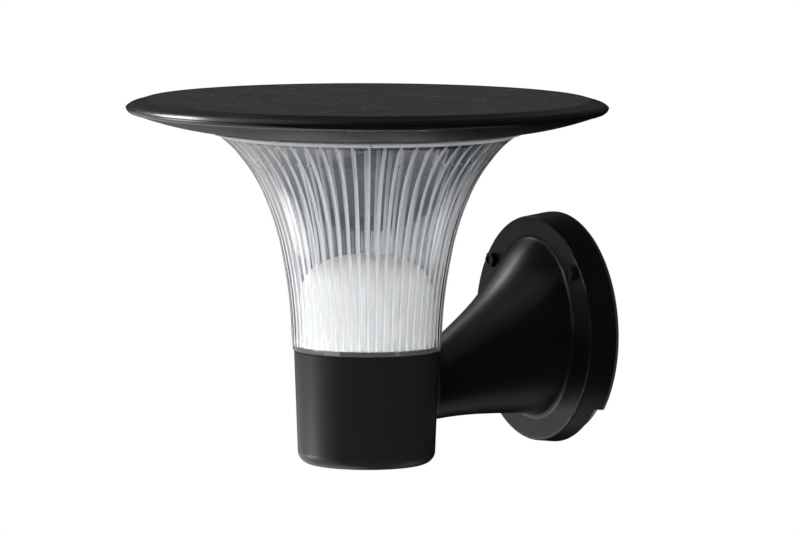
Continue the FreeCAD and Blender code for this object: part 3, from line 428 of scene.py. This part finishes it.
def bell_rings():
    """(radius, depth, fluted, band) for each ring round the closed section of the lens."""
    rings = [(FLANGE_HOLE, FLANGE_TOP, False, "collar")]
    rings += [(radius, FLANGE_TOP + down, False, "collar") for radius, down in FLANGE_EDGE]
    rings += [(radius, depth, False, "wall" if step else "collar")
              for step, (radius, depth) in enumerate(bell_curve(OUTSIDE_STEPS))]
    rings += [(FOOT_SHOULDER, FLUTE_BOTTOM, False, "foot side"),
              (FOOT_RADIUS, FOOT_BOTTOM, False, "foot under"),
              (FOOT_HOLE, FOOT_BOTTOM, False, "wall"),
              (FOOT_HOLE, FLUTE_BOTTOM, False, "wall"),
              (BELL[-1][0] - WALL, FLUTE_BOTTOM, False, "inside")]
    rings += [(radius - WALL, depth, True, "inside")
              for radius, depth in reversed(bell_curve(INSIDE_STEPS))]
    rings += [(FLANGE_HOLE, FLANGE_TOP + FLANGE_THICK, False, "inside")]
    return rings


rings = bell_rings()
print("the section of the lens has", len(rings), "rings")

# %% [markdown]
# The rings become a mesh: each point is joined to its neighbours on the ring and on the next
# ring, and the last ring is joined to the first. Smooth shading would smear light over the
# flange's corners, so every edge that is sharper than 32 degrees stays sharp.

# %% Fluted bell as a mesh
MM = 0.001
SHARP_FROM = math.radians(32)


def new_piece(name, verts, faces):
    """A mesh object of that name, in the scene."""
    mesh = bpy.data.meshes.new(name)
    mesh.from_pydata(verts, [], faces)
    mesh.validate()
    piece = bpy.data.objects.new(name, mesh)
    bpy.context.scene.collection.objects.link(piece)
    print(name, "has", len(mesh.polygons), "faces")
    return piece


bell_verts = []
for radius, depth, fluted, _ in rings:
    for turn, rise in flute_columns(radius, depth, fluted):
        reach = (radius - rise) * MM
        angle = math.tau * turn
        bell_verts.append((reach * math.cos(angle), AXIS_Y + reach * math.sin(angle),
                           RIM_Z - depth * MM))
bell_faces = []
for ring in range(len(rings)):
    low = ring * COLUMNS
    high = (ring + 1) % len(rings) * COLUMNS
    for step in range(COLUMNS):
        after = (step + 1) % COLUMNS
        bell_faces.append((low + step, high + step, high + after, low + after))
bell = new_piece("fluted_bell", bell_verts, bell_faces)
for face in bell.data.polygons:
    face.use_smooth = True
bell.data.set_sharp_from_angle(angle=SHARP_FROM)

# %% [markdown]
# Clear plastic bends light at both of its faces, so its shader is all transmission, with an
# index of 1.5, close to that of acrylic. The ribs come out of the mould less polished than the
# wall between them: their finish lets part of the light straight through and scatters the rest,
# which is what makes them read as white stripes. The flange is frosted, because the head's seal
# rubs on it. The foot is painted dark, as painted shade that stands in for the dark gasket under
# it seen through the clear plastic.

# %% Clear plastic
PLASTIC_IOR = 1.5
CLEAR = (0.95, 0.955, 0.965)
BELL_BANDS = (
    # band, finish, colour, roughness, share of light let through, size and depth of the grain
    ("wall", "clear plastic", CLEAR, 0.02, 1.0, None, None),
    ("between ribs", "ribbed inside", CLEAR, 0.03, 1.0, None, None),
    ("rib", "white ribs", CLEAR, 0.05, 0.4, None, None),
    ("collar", "frosted collar", CLEAR, 0.35, 0.6, 0.0005, 0.000005),
    # Painted shade: the foot's two dark colours stand in for the black gasket seen through the clear
    # foot.
    ("foot side", "foot painted dark", (0.25, 0.255, 0.27), 0.15, 0.6, 0.0006, 0.000004),
    ("foot under", "foot painted black", (0.015, 0.015, 0.015), 0.5, 0.0, 0.0007, 0.000005),
)
for _, name, color, roughness, let_through, grain, depth in BELL_BANDS:
    finish = new_finish(name, color, roughness, IOR=PLASTIC_IOR, Transmission_Weight=let_through)
    if grain:
        add_bump(finish, noise(finish, grain), depth)
    bell.data.materials.append(finish)

slots = {row[0]: slot for slot, row in enumerate(BELL_BANDS)}
first_on_rib = len(BESIDE_A_RIB)
last_on_rib = first_on_rib + len(UP_A_RIB) - 2
for index, face in enumerate(bell.data.polygons):
    band = rings[index // COLUMNS][3]
    if band == "inside":
        on_rib = first_on_rib <= index % FLUTE_COLUMNS <= last_on_rib
        band = "rib" if on_rib else "between ribs"
    face.material_index = slots[band]
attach(bell, "bracket")
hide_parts("lens")
print("the bell wears", ", ".join(slots))

# %% [markdown]
# The dome and the cap over the light source are thin white plastic that lets a little light
# through. A touch of light scattered under the surface keeps their shadow side from going dead,
# and costs far less time than real depth would.

# %% White and pale pieces
SCATTER_REACH = 0.003
WHITE_PIECES = (
    # finish, colour, roughness, share of light scattered, size and depth of the grain, piece
    ("white dome", (0.88, 0.875, 0.86), 0.45, 0.2, 0.0008, 0.00001, "reflector_dome"),
    ("opal cap", (0.82, 0.82, 0.80), 0.4, 0.3, 0.0006, 0.000008, "led_cover"),
)
for name, color, roughness, scattered, grain, depth, node_name in WHITE_PIECES:
    finish = new_finish(name, color, roughness, Subsurface_Weight=scattered,
                        Subsurface_Scale=SCATTER_REACH)
    add_bump(finish, noise(finish, grain), depth)
    wear(finish, node_name)

# %% [markdown]
# The small hardware: blackened screws on the canopy, bare steel inside, zinc on the plate, foam,
# rubber in the joints, and the electronics. They differ in colour, gloss and metal but are made
# alike, so one row of a table stands for each finish. A wide, faint noise makes the colour
# uneven, and a fine one gives each its grain at its own scale.

# %% Hardware, rubber and electronics
SMALL = (
    # finish, colour, roughness, how metallic, size of the grain, pieces
    ("blackened steel", (0.018, 0.018, 0.019), 0.38, 0.6, 0.0005, ("canopy_screws",)),
    ("stainless steel", (0.62, 0.61, 0.59), 0.3, 1.0, 0.0004,
     ("lens_screws", "head_screws", "board_screws", "led_screws")),
    ("dull zinc", (0.62, 0.62, 0.60), 0.45, 1.0, 0.0007, ("mounting_plate", "standoffs")),
    ("black rubber", (0.018, 0.018, 0.018), 0.7, 0.0, 0.0007,
     ("base_gasket", "rim_seal", "lens_seal", "switch_seal", "switch_button")),
    ("grey foam", (0.035, 0.035, 0.036), 0.9, 0.0, 0.0012, ("wall_gasket", "battery_pad")),
    ("circuit board", (0.012, 0.09, 0.035), 0.4, 0.0, 0.002, ("control_board", "panel_board")),
    ("component cases", (0.02, 0.02, 0.02), 0.35, 0.0, 0.0008, ("board_parts",)),
    ("white board", (0.75, 0.75, 0.74), 0.45, 0.0, 0.001, ("led_board",)),
    ("phosphor", (0.85, 0.62, 0.12), 0.5, 0.0, 0.0006, ("leds",)),
    ("battery wrap", (0.03, 0.11, 0.38), 0.4, 0.0, 0.003, ("battery_pack",)),
)
MOTTLE_GRAINS = 8
MOTTLE_DARK = 0.82
MOTTLE_LIGHT = 1.12
GRAIN_DEPTH = 0.02
for name, color, roughness, metal, grain, node_names in SMALL:
    finish = new_finish(name, color, roughness, Metallic=metal)
    mottle = noise(finish, grain * MOTTLE_GRAINS, GRAIN_DETAIL)
    to_shader(finish, blend(finish, mottle, tuple(MOTTLE_DARK * part for part in color),
                            tuple(min(1.0, MOTTLE_LIGHT * part) for part in color)), "Base Color")
    add_grain(finish, grain, depth=grain * GRAIN_DEPTH, spread=0.05)
    wear(finish, *node_names)

# %% [markdown]
# A small printed dot on the lens's collar shows where the head locks. It is made as a thin pad
# of its own that sinks into the collar and stands a tenth of a millimetre proud, because ink
# painted by the lens's own shader would be lost in the refraction. The collar leans inwards, and
# the dot leans with it.

# %% Index mark on the collar
MARK_TURN = math.radians(-28)
MARK_POINTS = 12
MARK_RADIUS = 0.0796
MARK_HALF_WIDE = 0.0007
MARK_HALF_TALL = 0.0006
MARK_DROP = 0.0011
MARK_SUNK = -0.0002
MARK_PROUD = 0.00012
COLLAR_LEAN = 0.77
mark_verts = []
for step in range(MARK_POINTS):
    angle = math.tau * step / MARK_POINTS
    turn = MARK_TURN + MARK_HALF_WIDE * math.cos(angle) / MARK_RADIUS
    below = MARK_DROP + MARK_HALF_TALL * math.sin(angle)
    for lift in (MARK_SUNK, MARK_PROUD):
        reach = MARK_RADIUS - COLLAR_LEAN * below + lift
        mark_verts.append((reach * math.cos(turn), AXIS_Y + reach * math.sin(turn),
                           RIM_Z - FLANGE_TOP * MM - below))
both = 2 * MARK_POINTS
mark_faces = [tuple(range(0, both, 2)), tuple(range(both - 1, 0, -2))]
mark_faces += [(first, first + 1, (first + 3) % both, (first + 2) % both)
               for first in range(0, both, 2)]
mark = new_piece("index_mark", mark_verts, mark_faces)
mark_ink = new_finish("black ink", (0.01, 0.01, 0.01), roughness=0.6)
add_bump(mark_ink, noise(mark_ink, size=0.0002), depth=0.000004)
mark.data.materials.append(mark_ink)
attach(mark, "bracket")

# %% [markdown]
# The floor is a wide pale sheet well below the light, which would otherwise hang in nothing. It
# takes the shadow, and it isn't part of the light.

# %% Floor sheet
FLOOR_Z = -0.26
FLOOR_HALF = 6.0
floor = new_piece("floor", [(x * FLOOR_HALF, AXIS_Y + y * FLOOR_HALF, FLOOR_Z)
                            for x, y in ((-1, -1), (1, -1), (1, 1), (-1, 1))], [(0, 1, 2, 3)])
pale = new_finish("pale floor", (0.88, 0.88, 0.88), roughness=0.8, Specular_IOR_Level=0.1)
floor.data.materials.append(pale)

# %% [markdown]
# A black lamp on white is drawn by what it mirrors. More light would bleach the white parts, so
# floor and world each get one level for the camera, one for mirrors, one through glass and one
# for everything else. The Light Path node tells these kinds of ray apart. What is dim through
# the glass is also faintly blue.

# %% A level for each kind of ray
WHITE = (1, 1, 1)
GLASS_COOL = (0.66, 0.78, 1.0)
DIM_LEVEL = 0.10


def by_ray(material, camera, glossy, through, others):
    """A level for each kind of ray; a level is a number or an output."""
    kinds = add(material, "LightPath")
    level = others
    for kind, given in (("Is Glossy Ray", glossy), ("Is Transmission Ray", through),
                        ("Is Camera Ray", camera)):
        level = blend(material, kinds.outputs[kind], level, given, "FLOAT")
    return level


def seen_through_glass(material, color):
    """This colour for rays that come through glass, and white for all others."""
    kinds = add(material, "LightPath")
    return blend(material, kinds.outputs["Is Transmission Ray"], WHITE, color)


print("through glass the dim parts shine at", DIM_LEVEL)

# %% [markdown]
# In mirrors the floor is dark but for a fan of light on one side, which the polished edges pick
# up as they would a window. Three round patches are added: a dim one right under the light, a
# brighter one on the fence side, and a small strong one off to the front left. Each patch is
# found by its distance from a point and fades out at its edge.

# %% Light that mirrors find on the floor
FAN_HEADING = math.radians(215)
PATCHES = (
    # across and along from the axis, full within, gone beyond, level
    (0.0, 0.0, 0.15, 0.40, 0.06),
    (0.04, 0.19, 0.06, 0.16, 0.35),
    (-0.50, -0.55, 0.14, 0.30, 6.5),
)
far = from_axis(pale)
outwards = add(pale, "VectorMath", beside_axis(pale), operation="NORMALIZE").outputs["Vector"]
along_fan = add(pale, "VectorMath", outwards, (math.cos(FAN_HEADING), math.sin(FAN_HEADING), 0),
                operation="DOT_PRODUCT").outputs["Value"]
shine = maths(pale, "MULTIPLY", ramp(pale, along_fan, low=0.40, high=0.82, start=0.01, end=1.0),
              ramp(pale, far, low=1.1, high=2.3, start=1.0, end=0.08))
for x, y, full, gone, level in PATCHES:
    apart = add(pale, "VectorMath", place(pale), (x, AXIS_Y + y, FLOOR_Z), operation="DISTANCE")
    patch = ramp(pale, apart.outputs["Value"], full, gone, level, 0.0)
    shine = maths(pale, "MAXIMUM", shine, patch)
print("the floor has a fan of light and", len(PATCHES), "patches")

# %% [markdown]
# Near the light the floor is a plain pale surface that takes the shadow. Further out it turns
# into a glow of the same white as the world, so that no horizon shows. Mirrors see only the
# glow, and matt pieces only the surface.

# %% Floor's glow and surface
edge = ramp(pale, far, low=0.35, high=1.0, start=0, end=1)
strength = by_ray(pale, camera=1.0, glossy=shine, through=DIM_LEVEL, others=0.0)
glow = add(pale, "Emission", seen_through_glass(pale, GLASS_COOL), strength)
surface = pale.node_tree.nodes["Principled BSDF"].outputs["BSDF"]
mixed = add(pale, "MixShader", by_ray(pale, camera=edge, glossy=1.0, through=edge, others=0.0),
            surface, glow.outputs["Emission"])
feed(pale, mixed.outputs["Shader"], pale.node_tree.nodes["Material Output"].inputs["Surface"])
print("the floor's finish has", len(pale.node_tree.nodes), "nodes")

# %% [markdown]
# The world is the room round the light. The camera sees plain white. Mirrors see a dark room
# with a soft window high on the left and a faint glow behind the head, which the panel picks up,
# and it is darker low down. Through the lens the front and the back are bright. Everything else
# gets a broad light that is stronger from the left. A picture of a real room could do this too,
# but a few directions with soft edges can be set to what the light should show.

# %% World
world = bpy.data.worlds.new("studio")
world.use_nodes = True
bpy.context.scene.world = world


def towards(heading, low, high, dim, bright):
    """A level that grows where the room is seen in a given direction."""
    look = add(world, "TexCoord").outputs["Generated"]
    straight = add(world, "VectorMath", look, Vector(heading).normalized(),
                   operation="DOT_PRODUCT").outputs["Value"]
    return ramp(world, straight, low, high, dim, bright)


window = towards((-0.67, -0.33, 0.67), low=0.80, high=0.98, dim=0.03, bright=0.8)
behind = towards((-0.87, 0.40, 0.29), low=0.90, high=0.985, dim=0.0, bright=0.09)
up_high = towards((0, 0, 1), low=0.05, high=0.35, dim=0.3, bright=1.0)
in_mirrors = maths(world, "MULTIPLY", maths(world, "MAXIMUM", window, behind), up_high)
front = towards((0.10, -1.0, 0.15), low=0.0, high=0.8, dim=DIM_LEVEL, bright=5.8)
back = towards((0.50, 0.87, 0.0), low=0.35, high=0.80, dim=0.0, bright=2.8)
through_glass = maths(world, "ADD", front, back)
all_round = towards((-0.75, -0.55, 0.35), low=-0.6, high=1.0, dim=0.3, bright=1.32)
room = by_ray(world, camera=1.0, glossy=in_mirrors, through=through_glass, others=all_round)
lit = ramp(world, through_glass, low=DIM_LEVEL, high=1.0, start=0, end=1)
tint = seen_through_glass(world, blend(world, lit, GLASS_COOL, WHITE))
background = world.node_tree.nodes["Background"]
feed(world, tint, background.inputs["Color"])
feed(world, room, background.inputs["Strength"])
print("the world has", len(world.node_tree.nodes), "nodes")

# %% [markdown]
# The world, and what the floor sends back of it, already light the whole scene softly. One soft
# box, high on the left as the camera sees it, adds what they can't: the long highlight down the
# arm, and a little more light on the left of the cup than on the right. It is an area lamp,
# because a point lamp would draw hard shadows.

# %% Soft box
BOX_PLACE = Vector((-1.0, -0.58, 0.90))
BOX_WIDE = 0.55
BOX_TALL = 0.45
BOX_WATTS = 13
AIM_BELOW_RIM = 0.08
AIM = Vector((0, AXIS_Y, RIM_Z - AIM_BELOW_RIM))
box_data = bpy.data.lights.new("left_softbox", "AREA")
box_data.shape = "RECTANGLE"
box_data.size = BOX_WIDE
box_data.size_y = BOX_TALL
box_data.energy = BOX_WATTS
soft_box = bpy.data.objects.new("left_softbox", box_data)
bpy.context.scene.collection.objects.link(soft_box)
soft_box.location = BOX_PLACE
soft_box.rotation_euler = (AIM - BOX_PLACE).to_track_quat("-Z", "Y").to_euler()
print("the soft box stands %.2f m from the lens" % (AIM - BOX_PLACE).length)

# %% [markdown]
# The photograph's camera was solved from the ellipses of the head, the cup and the canopy: it
# stands far off with a long lens, 60 degrees round from the front and a little above the head.
# It is set by its heading, pitch and roll rather than aimed at a point, because these three are
# what was solved.

# %% Camera
CAMERA_PLACE = Vector((2.73949, -1.6671, 0.35841))
HEADING = math.radians(150.17)
PITCH = math.radians(-5.82)
ROLL = math.radians(0.17)
PHOTO_WIDE = 800
FOCAL_PIXELS = 6102.7
SENSOR_WIDE = 36
forward = Vector((math.cos(PITCH) * math.cos(HEADING), math.cos(PITCH) * math.sin(HEADING),
                  math.sin(PITCH)))
right = forward.cross(Vector((0, 0, 1))).normalized()
up = right.cross(forward)
right, up = (right * math.cos(ROLL) + up * math.sin(ROLL),
             up * math.cos(ROLL) - right * math.sin(ROLL))
camera_data = bpy.data.cameras.new("camera")
camera_data.sensor_width = SENSOR_WIDE
camera_data.lens = FOCAL_PIXELS / PHOTO_WIDE * SENSOR_WIDE
camera_data.clip_end = 100
camera = bpy.data.objects.new("camera", camera_data)
bpy.context.scene.collection.objects.link(camera)
turned = Matrix((right, up, -forward)).transposed().to_4x4()
camera.matrix_world = Matrix.Translation(CAMERA_PLACE) @ turned
bpy.context.scene.camera = camera
print("the camera has a lens of %.1f mm" % camera_data.lens)

bpy.context.scene.view_settings.view_transform = "Standard"
